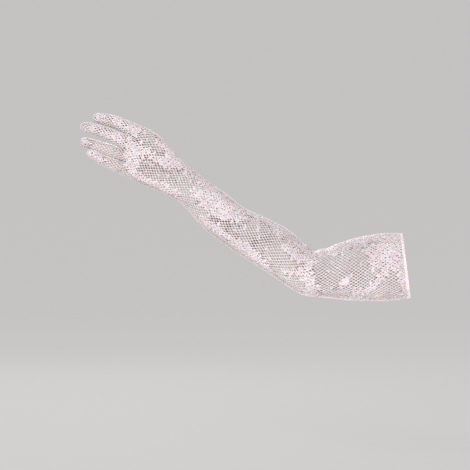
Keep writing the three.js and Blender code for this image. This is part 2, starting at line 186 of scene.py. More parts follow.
def section_shape(column, flat):
    """A column's place on a section's outline, as shares of its half width and half thickness."""
    angle = math.pi * (1 - column / HALF)
    side = 0 if column % HALF == 0 else 1 if column < HALF else -1
    from_seam = AROUND - column if side < 0 else column
    edge = math.cos(angle) if side == 0 else mix(-FLAT_EDGE, FLAT_EDGE, (from_seam - 1) / (HALF - 2))
    height = side * (1 - abs(edge) ** FLAT_POWER) ** (1 / FLAT_POWER)
    return mix(math.cos(angle), edge, flat), mix(math.sin(angle), height, flat)


def fold_depth(row, column):
    return sum(
        depth * math.exp(-(((row - at_row) / rows) ** 2) - ((column - at_column) / columns) ** 2)
        for at_row, at_column, depth, rows, columns in FOLDS
    )


def finger_width(widths, share):
    root, middle, joint = widths
    if share < MIDDLE_SHARE:
        straight = mix(root, middle, share / MIDDLE_SHARE)
    else:
        straight = mix(middle, joint, min(1, (share - MIDDLE_SHARE) / (JOINT_SHARE - MIDDLE_SHARE)))
    past_joint = max(0, (share - JOINT_SHARE) / (1 - JOINT_SHARE))
    return straight * math.sqrt(1 - TIP_TAPER * past_joint**2)


class Cage:
    """The glove's coarse surface: points, and cells that know their chart and their flat corners."""

    def __init__(self):
        self.points, self.cells, self.charts, self.flats = [], [], [], []

    def add(self, point):
        self.points.append(np.array(point, float))
        return len(self.points) - 1

    def cell(self, corners, flats, panel, part):
        self.cells.append(corners)
        self.flats.append(flats)
        self.charts.append(panel * PARTS + part)


cage = Cage()
sleeve = []
for row in range(ROWS):
    middle, across, back, width, thick, flat = section_at(row)
    ring = []
    for column in range(AROUND):
        u, v = section_shape(column, flat)
        point = middle + across * (u * width / 2) + back * (v * thick / 2)
        point += unit(middle - point) * fold_depth(row, column)
        ring.append(cage.add(point))
    sleeve.append(ring)

# The last row rises over each finger's root and dips at each crotch.
_, _, roots_back, _, _, _ = section_at(ROWS)
crotches = [np.array(c, float) for c in CROTCHES]
webs = [cage.add(c) for c in crotches]
last_row = [None] * AROUND
last_row[0], last_row[HALF] = webs[0], webs[-1]
for f, finger in enumerate(FINGERS):
    for step in range(FINGER_SPAN + 1):
        column = 1 + f * FINGER_SPAN + step
        is_edge = column in (1, HALF - 1)
        is_crotch = step % FINGER_SPAN == 0 and not is_edge
        share = END_SHARES[column > 1] if is_edge else step / FINGER_SPAN
        base = mix(crotches[f], crotches[f + 1], share)
        base = base - DISTAL * (WEB_DEPTH if is_crotch else 0)
        rise = finger["widths"][0] / 2 * (LOW_RISE if is_edge or is_crotch else FULL_RISE)
        for place, side in ((column, 1), (AROUND - column, -1)):
            if last_row[place] is None:
                last_row[place] = cage.add(base + roots_back * side * rise)
sleeve.append(last_row)

# Flat coordinates: v runs along the glove from the cuff, and u round it from each panel's middle.
along_rows = reach_along([middle_at(row) for row in range(ROWS)])
round_rows = [reach_along([cage.points[i] for i in [*row, row[0]]]) for row in sleeve]


def flat_of(panel, row, column):
    middle_column = HALF / 2 + panel * HALF
    u = round_rows[row][column] - np.interp(middle_column, range(AROUND + 1), round_rows[row])
    if row < ROWS:
        return u, along_rows[row]
    here = cage.points[sleeve[ROWS][column % AROUND]]
    before = cage.points[sleeve[ROWS - 1][column % AROUND]]
    return u, along_rows[ROWS - 1] + np.linalg.norm(here - before)


for row in range(ROWS):
    for column in range(AROUND):
        if THUMB_ROWS[0] <= row < THUMB_ROWS[1] and HALF <= column < THUMB_EDGE:
            continue
        panel = BACK if column < HALF else PALM
        places = ((row, column), (row, column + 1), (row + 1, column + 1), (row + 1, column))
        corners = [sleeve[r][c % AROUND] for r, c in places]
        cage.cell(corners, [flat_of(panel, r, c) for r, c in places], panel, HAND)


# A finger's tip laid flat: its length as a share of the finger's width, and its spread and bend, mm.
CAP_LENGTH = 0.28
CAP_SPREAD = 7
CAP_BEND = 2

# A finger's length is measured in this many steps.
LENGTH_STEPS = 20


class Finger:
    """The curve, widths and flat coordinates of a finger that grows out of a loop of vertices."""

    def __init__(self, loop, flats, shape, back_hint):
        """The loop's first half is the back panel's. flats has its places on both panels."""
        self.loop, self.flats, self.back_hint = loop, np.array(flats), back_hint
        self.count, self.half = len(loop), len(loop) // 2
        self.root = np.mean([cage.points[i] for i in loop], axis=0)
        self.tip = np.array(shape["tip"], float)
        self.control = 2 * np.array(shape["middle"], float) - (self.root + self.tip) / 2
        self.widths = shape["widths"]
        self.start_u = (self.flats[:, 1, 0] + self.flats[:, -2, 0]) / 2
        self.start_v = self.flats[:, 1:-1, 1].mean(axis=1)

    def centre(self, share):
        bend = self.control * 2 * share * (1 - share)
        return self.root * (1 - share) ** 2 + bend + self.tip * share**2

    def frame_at(self, share):
        along = unit((self.control - self.root) * (1 - share) + (self.tip - self.control) * share)
        across = unit(np.cross(along, self.back_hint))
        return self.centre(share), across, unit(np.cross(across, along))

    def ends_at(self, share):
        """Flat place v of a ring on both panels."""
        places = [self.centre(share * k / LENGTH_STEPS) for k in range(LENGTH_STEPS + 1)]
        return self.start_v + reach_along(places)[-1]

    def ring(self, share):
        middle, across, back = self.frame_at(share)
        radius = finger_width(self.widths, share) / 2
        angles = [math.pi * (1 - k / self.half) for k in range(self.count)]
        return [middle + (across * math.cos(a) + back * math.sin(a)) * radius for a in angles]

    def ring_flats(self, share):
        girth = math.pi * finger_width(self.widths, share) / 2
        u = self.start_u[:, None] + (np.arange(self.half + 1) / self.half - 0.5) * girth
        return np.stack((u, np.broadcast_to(self.ends_at(share)[:, None], u.shape)), 2)


def close_tip(finger, last, last_flats, last_share, part):
    """Closes a finger's last ring on a short row of vertices."""
    half, width = finger.half, finger_width(finger.widths, last_share)
    tip_v = finger.ends_at(1) + width * CAP_LENGTH
    cap, cap_flats = [], ([], [])
    for k in range(1, half):
        u = math.cos(math.pi * (1 - k / half)) * CAP_REACH
        middle, across, _ = finger.frame_at(mix(last_share, 1, math.sqrt(1 - u * u)))
        cap.append(cage.add(middle + across * u * width / 2))
        for panel, side in ((BACK, 1), (PALM, -1)):
            place = finger.start_u[panel] + side * u * CAP_SPREAD, tip_v[panel] - abs(u) * CAP_BEND
            cap_flats[panel].append(place)
    rows = ((BACK, last[: half + 1], cap, 1), (PALM, [*last[half:], last[0]], cap[::-1], -1))
    for panel, ring, row, order in rows:
        at, row_at = last_flats[panel], cap_flats[panel][::order]
        cage.cell([ring[0], ring[1], row[0]], [at[0], at[1], row_at[0]], panel, part)
        cage.cell([ring[-2], ring[-1], row[-1]], [at[-2], at[-1], row_at[-1]], panel, part)
        for k in range(len(row) - 1):
            corners = [ring[k + 1], ring[k + 2], row[k + 1], row[k]]
            cage.cell(corners, [at[k + 1], at[k + 2], row_at[k + 1], row_at[k]], panel, part)


def grow_finger(finger, shares, part, neck=0.0):
    """Adds a finger to the cage. A neck is how far a first ring goes from the loop to its own shape."""
    rings, flats = [finger.loop], [finger.flats]
    if neck:
        ring = zip(finger.loop, finger.ring(shares[0]))
        rings.append([cage.add(mix(cage.points[i], point, neck)) for i, point in ring])
        flats.append(mix(finger.flats, finger.ring_flats(shares[0]), neck))
    for share in shares:
        rings.append([cage.add(point) for point in finger.ring(share)])
        flats.append(finger.ring_flats(share))
    for r in range(len(rings) - 1):
        for k in range(finger.count):
            panel = BACK if k < finger.half else PALM
            a, after = k - panel * finger.half, (k + 1) % finger.count
            corners = [rings[r][k], rings[r][after], rings[r + 1][after], rings[r + 1][k]]
            near, far = flats[r][panel], flats[r + 1][panel]
            cage.cell(corners, [near[a], near[a + 1], far[a + 1], far[a]], panel, part)
    close_tip(finger, rings[-1], flats[-1], shares[-1], part)


def finger_loop(f):
    """The loop of vertices round a finger's root, and its flat coordinates on both panels."""
    first = 1 + f * FINGER_SPAN
    back_columns = [first + step for step in range(FINGER_SPAN + 1)]
    palm_columns = [AROUND - column for column in reversed(back_columns)]
    back, palm = ([last_row[c] for c in columns] for columns in (back_columns, palm_columns))
    loop = [webs[f], *back, webs[f + 1], *palm]
    flats = []
    for panel, columns in ((BACK, back_columns), (PALM, palm_columns)):
        inner = [flat_of(panel, ROWS, c) for c in columns]
        (low_u, low_v), (high_u, high_v) = inner[0], inner[-1]
        gap = (high_u - low_u) / FINGER_SPAN
        flats.append([(low_u - gap, low_v + SIDE_RISE), *inner, (high_u + gap, high_v + SIDE_RISE)])
    return loop, flats


def thumb_loop():
    """The loop of vertices round the thumb's root, and its flat coordinates on both panels."""
    low, high = THUMB_ROWS
    places = [(high, HALF + 1)]
    places += [(row, HALF) for row in range(high, low - 1, -1)]
    places += [(low, HALF + 1), (low, HALF + 2)]
    places += [(row, THUMB_EDGE) for row in range(low, high + 1)]
    places += [(high, HALF + 2)]
    loop = [sleeve[row][column] for row, column in places]
    half = len(loop) // 2
    flats = []
    for panel in (BACK, PALM):
        own = [loop[(k + panel * half) % len(loop)] for k in range(half + 1)]
        reach = reach_along([cage.points[i] for i in own])
        flats.append([(THUMB_FLAT + r - reach[-1] / 2, along_rows[low]) for r in reach])
    return loop, flats


for f, shape in enumerate(FINGERS):
    grow_finger(Finger(*finger_loop(f), shape, roots_back), FINGER_RINGS, 1 + f)
grow_finger(Finger(*thumb_loop(), THUMB, THUMB_BACK), THUMB_RINGS, THUMB_PART, neck=THUMB_NECK)

# The smooth surface: the coarse one subdivided, and moved so that it passes through its points.
SUBDIVISIONS = 2
FITTINGS = 3


def read(items, name, width=1, kind=float):
    """One property of all of a mesh's items, as a flat array."""
    values = np.empty(len(items) * width, kind)
    items.foreach_get(name, values)
    return values


def subdivided(cage_points):
    mesh = bpy.data.meshes.new("cage")
    mesh.from_pydata([tuple(p) for p in cage_points], [], cage.cells)
    mesh.polygons.foreach_set("material_index", cage.charts)
    flat = mesh.uv_layers.new(name="flat")
    flat.data.foreach_set("uv", np.array([c for f in cage.flats for c in f], "f").ravel())
    holder = bpy.data.objects.new("cage", mesh)
    bpy.context.scene.collection.objects.link(holder)
    modifier = holder.modifiers.new("smooth", "SUBSURF")
    modifier.levels = SUBDIVISIONS
    modifier.uv_smooth = "NONE"
    smooth = holder.evaluated_get(bpy.context.evaluated_depsgraph_get()).to_mesh()
    points = read(smooth.vertices, "co", 3).reshape(-1, 3)
    normals = read(smooth.vertices, "normal", 3).reshape(-1, 3)
    quads = read(smooth.loops, "vertex_index", kind=int).reshape(-1, 4)
    charts = read(smooth.polygons, "material_index", kind=int)
    flats = read(smooth.uv_layers["flat"].data, "uv", 2).reshape(-1, 4, 2)
    bpy.data.objects.remove(holder)
    bpy.data.meshes.remove(mesh)
    return points, normals, quads, charts, flats


wanted = np.array(cage.points)
moved = wanted.copy()
for _ in range(FITTINGS):
    limit = subdivided(moved)[0][: len(wanted)]
    moved += wanted - limit
SURFACE, NORMALS, QUADS, QUAD_CHARTS, QUAD_FLATS = subdivided(moved)

# Where the net begins, how wide the hem over it is, and how near a chart a place is on it, mm.
NET_START = 1.2
HEM_WIDTH = 4.3
ON_CHART = 0.02
NEAR_CHART = 0.05


class Chart:
    """One flat piece of lace pattern: finds the glove's surface under a flat point."""

    def __init__(self, panel, part):
        self.panel, self.part = panel, part
        own = QUAD_CHARTS == panel * PARTS + part
        quads, flats = QUADS[own], QUAD_FLATS[own]
        halves = ((0, 1, 2), (0, 2, 3))
        self.corners = np.concatenate([quads[:, h] for h in halves])
        self.flats = np.concatenate([flats[:, h] for h in halves])
        flat_points = np.zeros((len(self.flats) * 3, 3))
        flat_points[:, :2] = self.flats.reshape(-1, 2)
        triangles = np.arange(len(flat_points)).reshape(-1, 3)
        self.tree = BVHTree.FromPolygons(flat_points.tolist(), triangles.tolist())
        self.low = flat_points.min(axis=0)[:2]
        self.high = flat_points.max(axis=0)[:2]

    def distances(self, flat):
        return np.array([self.tree.find_nearest((u, v, 0.0))[3] for u, v in flat])

    def holds(self, flat):
        """Whether each flat point is on the chart and far enough in from the cuff's edge for net."""
        return (self.distances(flat) < ON_CHART) & (np.asarray(flat)[:, 1] > NET_START)

    def lay(self, flat):
        """Points and normals of the surface under flat points; those outside go to the edge."""
        found = [self.tree.find_nearest((u, v, 0.0)) for u, v in flat]
        at = np.array([(f[0][0], f[0][1]) for f in found])
        index = np.array([f[2] for f in found])
        a, b, c = (self.flats[index, k] for k in range(3))
        ab, ac, ap = b - a, c - a, at - a
        area = ab[:, 0] * ac[:, 1] - ab[:, 1] * ac[:, 0]
        area = np.where(np.abs(area) < 1e-9, 1e-9, area)
        share_b = (ap[:, 0] * ac[:, 1] - ap[:, 1] * ac[:, 0]) / area
        share_c = (ab[:, 0] * ap[:, 1] - ab[:, 1] * ap[:, 0]) / area
        shares = np.stack((1 - share_b - share_c, share_b, share_c), axis=1)[:, :, None]
        corners = self.corners[index]
        points = (SURFACE[corners] * shares).sum(axis=1)
        normals = (NORMALS[corners] * shares).sum(axis=1)
        return points, unit_rows(normals)


CHARTS = {panel: [Chart(panel, part) for part in range(PARTS)] for panel in (BACK, PALM)}


def add_piece(name, points, faces, material):
    """An object in the scene, of points in metres and faces that are shaded smooth."""
    mesh = bpy.data.meshes.new(name)
    mesh.from_pydata(points, [], faces)
    mesh.polygons.foreach_set("use_smooth", [True] * len(mesh.polygons))
    mesh.materials.append(material)
    piece = bpy.data.objects.new(name, mesh)
    bpy.context.scene.collection.objects.link(piece)
    return piece


class Soup:
    """Collects the small closed shapes of one piece, then makes one mesh of them."""

    def __init__(self):
        self.points, self.faces, self.marks = [], [], []
        self.count = 0

    def add(self, points, faces, marks):
        """marks gives each point's colour for its material, from 0 to 1: low marks are painted shade, and
        a piece with one mark all over has a plain tone.
        """
        self.points.append(np.asarray(points))
        self.marks.append(np.asarray(marks))
        self.faces.append([[i + self.count for i in face] for face in faces])
        self.count += len(points)

    def make(self, name, material, slot_name):
        points = np.concatenate(self.points) * MM
        piece = add_piece(name, points.tolist(), [f for group in self.faces for f in group], material)
        # The marks go into the colour as painted shade where they are low.
        marks = piece.data.attributes.new("tone_and_painted_shade", "FLOAT", "POINT")
        marks.data.foreach_set("value", np.concatenate(self.marks).astype("f"))
        piece.data.validate()
        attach(piece, "root")
        return piece


def wall_faces(rings, sides, joined=False):
    """Four-sided faces between rings of points. When they are joined, the last ring meets the first."""
    near = np.arange(rings if joined else rings - 1)[:, None] * sides
    far = (near + sides) % (rings * sides)
    k = np.arange(sides)[None, :]
    after = (k + 1) % sides
    return np.stack((near + k, near + after, far + after, far + k), axis=2).reshape(-1, 4)


def turned(faces):
    """Four-sided faces that look the other way."""
    return faces[:, (0, 3, 2, 1)].tolist()


def add_cord(soup, points, normals, across_size, up_size, sides=4, lift=0.0, mark=0.0, under=None):
    """A thread along points of the surface. Its sizes are half of its width and height, mm."""
    along = unit_rows(np.gradient(points, axis=0))
    across = unit_rows(np.cross(normals, along))
    up = np.cross(along, across)
    angles = np.arange(sides) * 2 * math.pi / sides
    wide = np.broadcast_to(np.asarray(across_size, float), len(points))[:, None, None]
    high = np.broadcast_to(np.asarray(up_size, float), len(points))[:, None, None]
    rings = (points + normals * lift)[:, None, :]
    rings = rings + across[:, None, :] * wide * np.cos(angles)[None, :, None]
    rings = rings + up[:, None, :] * high * np.sin(angles)[None, :, None]
    # The thread's top takes the mark and its underside the under mark; an under mark lower than the mark
    # paints shade on the underside.
    mark = np.broadcast_to(np.asarray(mark, float), len(points))[:, None]
    under = mark if under is None else under
    marks = (mark + (under - mark) * (0.5 - 0.5 * np.sin(angles))).ravel()
    ends = [list(range(sides))[::-1], list(range((len(points) - 1) * sides, len(points) * sides))]
    soup.add(rings.reshape(-1, 3), wall_faces(len(points), sides).tolist() + ends, marks)


# Where the lace is worked solid: bands along lines of u, v and half width, on parts of a panel.
LITTLE, RING, MIDDLE, INDEX = 1, 2, 3, 4
HAND_LINES = (
    ((18, 312, 8), (29, 294, 7), (36, 269, 6), (38, 249, 6), (38, 228, 6), (37, 209, 7), (38, 189, 8),
     (43, 172, 10), (46, 158, 12)),
    ((46, 158, 12), (45, 143, 13), (43, 131, 12), (41, 118, 11), (40, 104, 10), (45, 88, 8), (54, 73, 6),
     (58, 57, 5), (56, 36, 6)),
    ((41, 158, 8), (29, 152, 7), (16, 148, 6), (1, 149, 5), (-12, 144, 5.5), (-22, 140, 6), (-39, 136, 7),
     (-58, 131, 7)),
    ((11, 194, 3.5), (15, 182, 7), (15, 171, 7), (16, 161, 5), (20, 153, 5)),
    ((-21, 185, 1.5), (-14, 172, 2.5), (-7, 161, 3), (-2, 150, 3)),
    ((-15, 249, 4), (-22, 237, 6), (-28, 226, 6), (-35, 215, 7), (-38, 203, 5)),
    ((31, 57, 6), (23, 47, 8), (27, 39, 12), (34, 27, 15), (42, 14, 17), (46, 0, 17)),
    ((13, 54, 4), (8, 46, 6), (8, 31, 10), (14, 19, 13), (12, 3, 15)),
    ((-1, 31, 5), (-12, 36, 3), (-25, 46, 3), (-36, 61, 3), (-35, 77, 3)),
    ((-2, 8, 7), (-14, 7, 6), (-27, 6, 5), (-44, 4, 5), (-75, 4, 5)),
    ((-52, 91, 4), (-56, 81, 6), (-58, 70, 6), (-62, 55, 5)),
    ((-1, 354, 6), (5, 342, 10), (6, 329, 14), (6, 315, 14), (8, 300, 12), (12, 286, 7), (16, 275, 3)),
    ((-24, 325, 4), (-22, 310, 5), (-21, 295, 5), (-21, 283, 5), (-23, 268, 4.5), (-24, 257, 4.5),
     (-18, 247, 4)),
    ((34, 450, 4), (32, 430, 6), (31, 415, 7), (29, 400, 7), (28, 385, 7), (27, 370, 7), (27, 353, 8),
     (27, 337, 8), (24, 320, 9)),
    ((9, 452, 3), (8, 436, 5), (14, 426, 6), (15, 416, 6), (22, 408, 6), (28, 400, 6)),
    ((6, 500, 8), (5, 477, 9), (6, 464, 8), (9, 454, 5)),
    ((-10, 482, 7), (-9, 466, 7), (-20, 470, 7), (-27, 458, 6), (-30, 446, 4), (-27, 430, 3.5),
     (-24, 415, 3.5), (-22, 400, 3.5), (-21, 380, 3.5)),
)
BACK_BANDS = (
    *(((HAND,), line) for line in HAND_LINES),
    ((HAND, INDEX), ((37, 486, 3), (37, 494, 16), (37, 600, 16))),
    ((MIDDLE,), ((12, 486, 16), (14, 536, 15), (14, 548, 3))),
    ((RING,), ((-10, 542, 1), (-10, 556, 10), (-10, 600, 20))),
    ((LITTLE,), ((-33, 510, 1), (-33, 524, 10), (-33, 600, 20))),
    ((THUMB_PART,), ((400, 455, 1), (400, 472, 10), (400, 520, 30))),
)


def palm_band(parts, line):
    """The band of the palm panel that mirrors one of the back panel. The thumb's keeps its side."""
    side = 1 if THUMB_PART in parts else -1
    return parts, tuple((side * u, v, w) for u, v, w in line)


SOLID_WORK = {BACK: BACK_BANDS, PALM: tuple(palm_band(*band) for band in BACK_BANDS)}
FAR_OUTSIDE = -50.0


def depth_in_work(flat, chart):
    """How far inside solid work each flat point is, mm. It is negative in the open net."""
    flat = np.asarray(flat, float)
    depth = np.full(len(flat), FAR_OUTSIDE)
    for parts, line in SOLID_WORK[chart.panel]:
        if chart.part not in parts:
            continue
        for (u0, v0, w0), (u1, v1, w1) in zip(line, line[1:]):
            a, d = np.array((u0, v0)), np.array((u1 - u0, v1 - v0))
            share = np.clip(((flat - a) @ d) / (d @ d), 0, 1)
            away = np.linalg.norm(flat - a - share[:, None] * d, axis=1)
            depth = np.maximum(depth, w0 + (w1 - w0) * share - away)
    return depth


# The net: two families of slanting strands, knotted where they cross. Sizes are half pitches, mm.
PITCH_U = 2.4
PITCH_V = 3.45
THIN_STRAND = 0.38
KNOT = 0.62
SOLID_STRAND = 1.3
STRAND_HEIGHT = 0.3
KNOT_RISE = 0.08
WORK_EDGE = 1.2
SHORTEST_END = 0.15
HALVINGS = 6
random = np.random.default_rng(5981)


def edge_between(chart, near, far):
    """The last flat place on the chart, on the way from one on it to one off it."""
    for _ in range(HALVINGS):
        middle = (near + far) / 2
        if chart.holds([middle])[0]:
            near = middle
        else:
            far = middle
    return near


def run_to_edges(chart, flat, first, after):
    """A run's flat points, reaching to the chart's edge: 1 marks a knot and 0.5 an end."""
    run = [flat[k] for k in range(first, after)]
    knots = [1.0 if k % 2 == 0 else 0.0 for k in range(first, after)]
    for at_end, k, outside in ((False, first, first - 1), (True, after - 1, after)):
        if not 0 <= outside < len(flat):
            continue
        end = edge_between(chart, flat[k], flat[outside])
        if np.linalg.norm(end - flat[k]) > SHORTEST_END:
            run.insert(len(run) if at_end else 0, end)
            knots.insert(len(knots) if at_end else 0, 0.5)
    return np.array(run), np.array(knots)


def add_strand(soup, chart, start, direction, steps):
    """One slanting line of the net, in the runs of it that lie inside the chart."""
    halves = np.arange(0, 2 * steps + 1) / 2
    flat = start + halves[:, None] * direction
    edges = np.flatnonzero(np.diff(np.concatenate(([0], chart.holds(flat).astype(int), [0]))))
    for first, after in zip(edges[::2], edges[1::2]):
        run, knots = run_to_edges(chart, flat, first, after)
        if len(run) < 2:
            continue
        points, normals = chart.lay(run)
        solid = np.clip((depth_in_work(run, chart) + WORK_EDGE) / (2 * WORK_EDGE), 0, 1)
        solid = solid * solid * (3 - 2 * solid)
        thin = THIN_STRAND + (KNOT - THIN_STRAND) * knots
        thin = thin * random.uniform(0.85, 1.15, len(run))
        thick = SOLID_STRAND * random.uniform(0.8, 1.08, len(run))
        wide = thin + (thick - thin) * solid
        high = STRAND_HEIGHT + KNOT_RISE * knots
        # The net's threads are painted dark on their undersides, towards the inside of the glove, as
        # painted shade, and a little darker in the solid work, as painted shadow between the petals.
        add_cord(soup, points, normals, wide, high, mark=0.85 - 0.12 * solid, under=0.0)


def net_of(panel):
    soup = Soup()
    for chart in CHARTS[panel]:
        low_j = math.floor(chart.low[1] / PITCH_V) - 1
        steps = math.ceil((chart.high[1] - chart.low[1]) / PITCH_V) + 3
        for lean in (-1, 1):
            first = math.floor(chart.low[0] / PITCH_U) - (steps if lean > 0 else 0) - 1
            last = math.ceil(chart.high[0] / PITCH_U) + (steps if lean < 0 else 0) + 1
            for i in range(first, last + 1):
                if (i + low_j) % 2:
                    continue
                start = np.array((i * PITCH_U, low_j * PITCH_V))
                direction = np.array((lean * PITCH_U, PITCH_V))
                add_strand(soup, chart, start, direction, steps)
    return soup


# Materials.
def add_node(material, kind, **inputs):
    """A new node of a material, with some of its inputs set."""
    node = material.node_tree.nodes.new("ShaderNode" + kind)
    for name, value in inputs.items():
        node.inputs[name].default_value = value
    return node


def colour_with_painted_shade(material, light, dark):
    """Colours a material from its dark to its light colour by the thread's marks, the dark being painted
    shade, with faint blotches.
    """
    link = material.node_tree.links.new
    place = add_node(material, "TexCoord")
    blotches = add_node(material, "TexNoise", Scale=45, Detail=6)
    faint = add_node(material, "Math")
    faint.operation = "MULTIPLY_ADD"
    faint.inputs[1].default_value = 0.9
    faint.inputs[2].default_value = -0.25
    tone_and_painted_shade = add_node(material, "Attribute")
    tone_and_painted_shade.attribute_name = "tone_and_painted_shade"
    joined = add_node(material, "Math")
    joined.operation = "ADD"
    joined.use_clamp = True
    tint = add_node(material, "ValToRGB")
    tint.color_ramp.elements[0].color = (*dark, 1)
    tint.color_ramp.elements[1].color = (*light, 1)
    link(place.outputs["Object"], blotches.inputs["Vector"])
    link(blotches.outputs["Fac"], faint.inputs[0])
    link(faint.outputs[0], joined.inputs[0])
    link(tone_and_painted_shade.outputs["Fac"], joined.inputs[1])
    link(joined.outputs[0], tint.inputs["Fac"])
    link(tint.outputs["Color"], material.node_tree.nodes["Principled BSDF"].inputs["Base Color"])


def twist(material, scale, height, turn):
    """Gives a material the fine fibres of twisted thread, as bumps of a height in mm."""
    link = material.node_tree.links.new
    place = add_node(material, "TexCoord")
    turned = add_node(material, "Mapping", Rotation=(0, turn, 0))
    fibres = add_node(material, "TexWave", Scale=scale, Distortion=3, Detail=3)
    bump = add_node(material, "Bump", Strength=0.5, Distance=height * MM)
    link(place.outputs["Object"], turned.inputs["Vector"])
    link(turned.outputs["Vector"], fibres.inputs["Vector"])
    link(fibres.outputs["Fac"], bump.inputs["Height"])
    link(bump.outputs["Normal"], material.node_tree.nodes["Principled BSDF"].inputs["Normal"])


def thread_material(name, light, dark, roughness, sheen, fibre_scale, fibre_height, fibre_turn):
    """Cotton and nylon thread: a colour that varies a little, darkened to painted shade where its marks
    are low, and a fine twist in its surface.
    """
    material = bpy.data.materials.new(name)
    material.use_nodes = True
    shader = material.node_tree.nodes["Principled BSDF"]
    shader.inputs["Roughness"].default_value = roughness
    shader.inputs["Sheen Weight"].default_value = sheen
    shader.inputs["Sheen Roughness"].default_value = 0.45
    shader.inputs["Subsurface Weight"].default_value = 0.12
    shader.inputs["Subsurface Scale"].default_value = 0.002
    colour_with_painted_shade(material, light, dark)
    twist(material, fibre_scale, fibre_height, fibre_turn)
    return material


# The dark colours are painted shade: the net's, warm, on its threads' undersides, and the petals' in
# their bowls and edges.
NET_THREAD = thread_material(
    "net_thread", light=(0.92, 0.82, 0.825), dark=(0.46, 0.335, 0.305), roughness=0.62, sheen=0.15,
    fibre_scale=900, fibre_height=0.08, fibre_turn=0.6,
)
PETAL_THREAD = thread_material(
    "petal_thread", light=(0.87, 0.755, 0.79), dark=(0.48, 0.36, 0.40), roughness=0.55, sheen=0.2,
    fibre_scale=700, fibre_height=0.12, fibre_turn=0.9,
)
SEAM_THREAD = thread_material(
    "seam_thread", light=(0.94, 0.885, 0.895), dark=(0.70, 0.60, 0.64), roughness=0.5, sheen=0.2,
    fibre_scale=1100, fibre_height=0.06, fibre_turn=0.2,
)

# Petal shapes: powers that space the rows, place the widest one and round it, and a bulge.
POINTED = {"spacing": 1.0, "widest": 0.85, "roundness": 0.9, "bulge": 0.0}
ROUNDED = {"spacing": 0.9, "widest": 1.35, "roundness": 0.62, "bulge": 0.06}
PETAL_COLUMNS = (-1, -0.78, -0.42, 0, 0.42, 0.78, 1.0)
PETAL_END = 1.04
PETAL_BACK = -0.25
END_SLOPE = 3.2
END_HEIGHT = 0.25


def petal_faces(rows):
    """Faces of a petal's rows of points, with a point before the first row and one past the last."""
    columns = len(PETAL_COLUMNS)
    end = 1 + (rows - 2) * columns
    last = end + columns
    faces = []
    for base in range(1, end, columns):
        for a in range(base, base + columns - 1):
            faces.append((a, a + columns, a + columns + 1, a + 1))
        faces.append((base, base + columns - 1, base + 2 * columns - 1, base + columns))
    for k in range(columns - 1):
        faces.append((0, 1 + k, 2 + k))
        faces.append((last, end + k + 1, end + k))
    faces.append((0, columns, 1))
    faces.append((last, end, end + columns - 1))
    return faces


def petal_template(rows, tip, rim, bowl, middle):
    """A petal whose rim, bowl and middle have heights: flat places, heights, marks and faces."""
    heights = (PETAL_BACK, rim, bowl, middle, bowl, rim, PETAL_BACK)
    # Painted shade and light: the rims are marked light, and the bowls and turned-under edges dark.
    marks = (0.1, 1.0, 0.3, 0.8 if middle > bowl else 0.3, 0.3, 1.0, 0.1)
    flat, high, mark = [(0.0, 0.0)], [-0.1], [0.6]
    for t in (np.arange(1, rows) / rows) ** tip["spacing"]:
        swell = math.sin(math.pi * t ** tip["widest"]) ** tip["roundness"]
        ends = min(1.0, END_SLOPE * min(t, 1 - t) + END_HEIGHT)
        for x, h, m in zip(PETAL_COLUMNS, heights, marks):
            bulge = tip["bulge"] * (1 - x * x)
            flat.append((t + bulge * t, x * swell / 2))
            high.append(h * ends if h > 0 else h)
            mark.append(m)
    flat.append((PETAL_END, 0.0))
    high.append(0.15)
    mark.append(0.8)
    return np.array(flat), np.array(high), np.array(mark), petal_faces(rows)


LEAF = petal_template(6, POINTED, rim=0.75, bowl=0.35, middle=0.85)
ROUND = petal_template(6, ROUNDED, rim=0.95, bowl=0.35, middle=0.5)
DOT = petal_template(4, ROUNDED, rim=0.7, bowl=0.95, middle=1.0)

# How petals lie: heights over the net, and how they are pressed down beside the hem, mm.
PETAL_LIFT = 0.22
PETAL_RISE = 0.62
PETAL_BOUNDS = np.array(((0, 0), (PETAL_END, 0), (0.75, 0.4), (0.75, -0.4), (0.35, 0.4), (0.35, -0.4)))
SHORTEST_PETAL = 1.6
HEM_OVERLAP = 0.4
PRESSED_WIDTH = 1.2
PRESSED_SHARE = 0.15

# Flowers in the solid work: radii of roses and blossoms and the length of a leaf, mm.
HAND_SIZES = {"rose": 10.5, "most_roses": 200, "blossom": 5.6, "leaf": 9.5}
FINGER_SIZES = {"rose": 7.5, "most_roses": 2, "blossom": 4.2, "leaf": 6.5}
FLOWER_TRIES = 5000
LEAF_TRIES = 16000
DEEPEST = 60
FULL_TURN = 6.28
ROSE_ROOM = 0.86
BLOSSOM_ROOM = 0.82
LEAF_MARGIN = 1.5

# Rings of a rose: petals, their start, length and width as shares of the radius, lift and turn.
ROSE_RINGS = ((6, 0.40, 0.62, 0.62, 0.0, 0.0), (5, 0.10, 0.50, 0.46, 0.45, 0.4))

SPRAY_LEAVES = 5
SPRAY_CURL = 0.5
STEM_STEPS = 8


def way(angle):
    return np.array((math.cos(angle), math.sin(angle)))


def ways(angles):
    return np.stack((np.cos(angles), np.sin(angles)), 1)


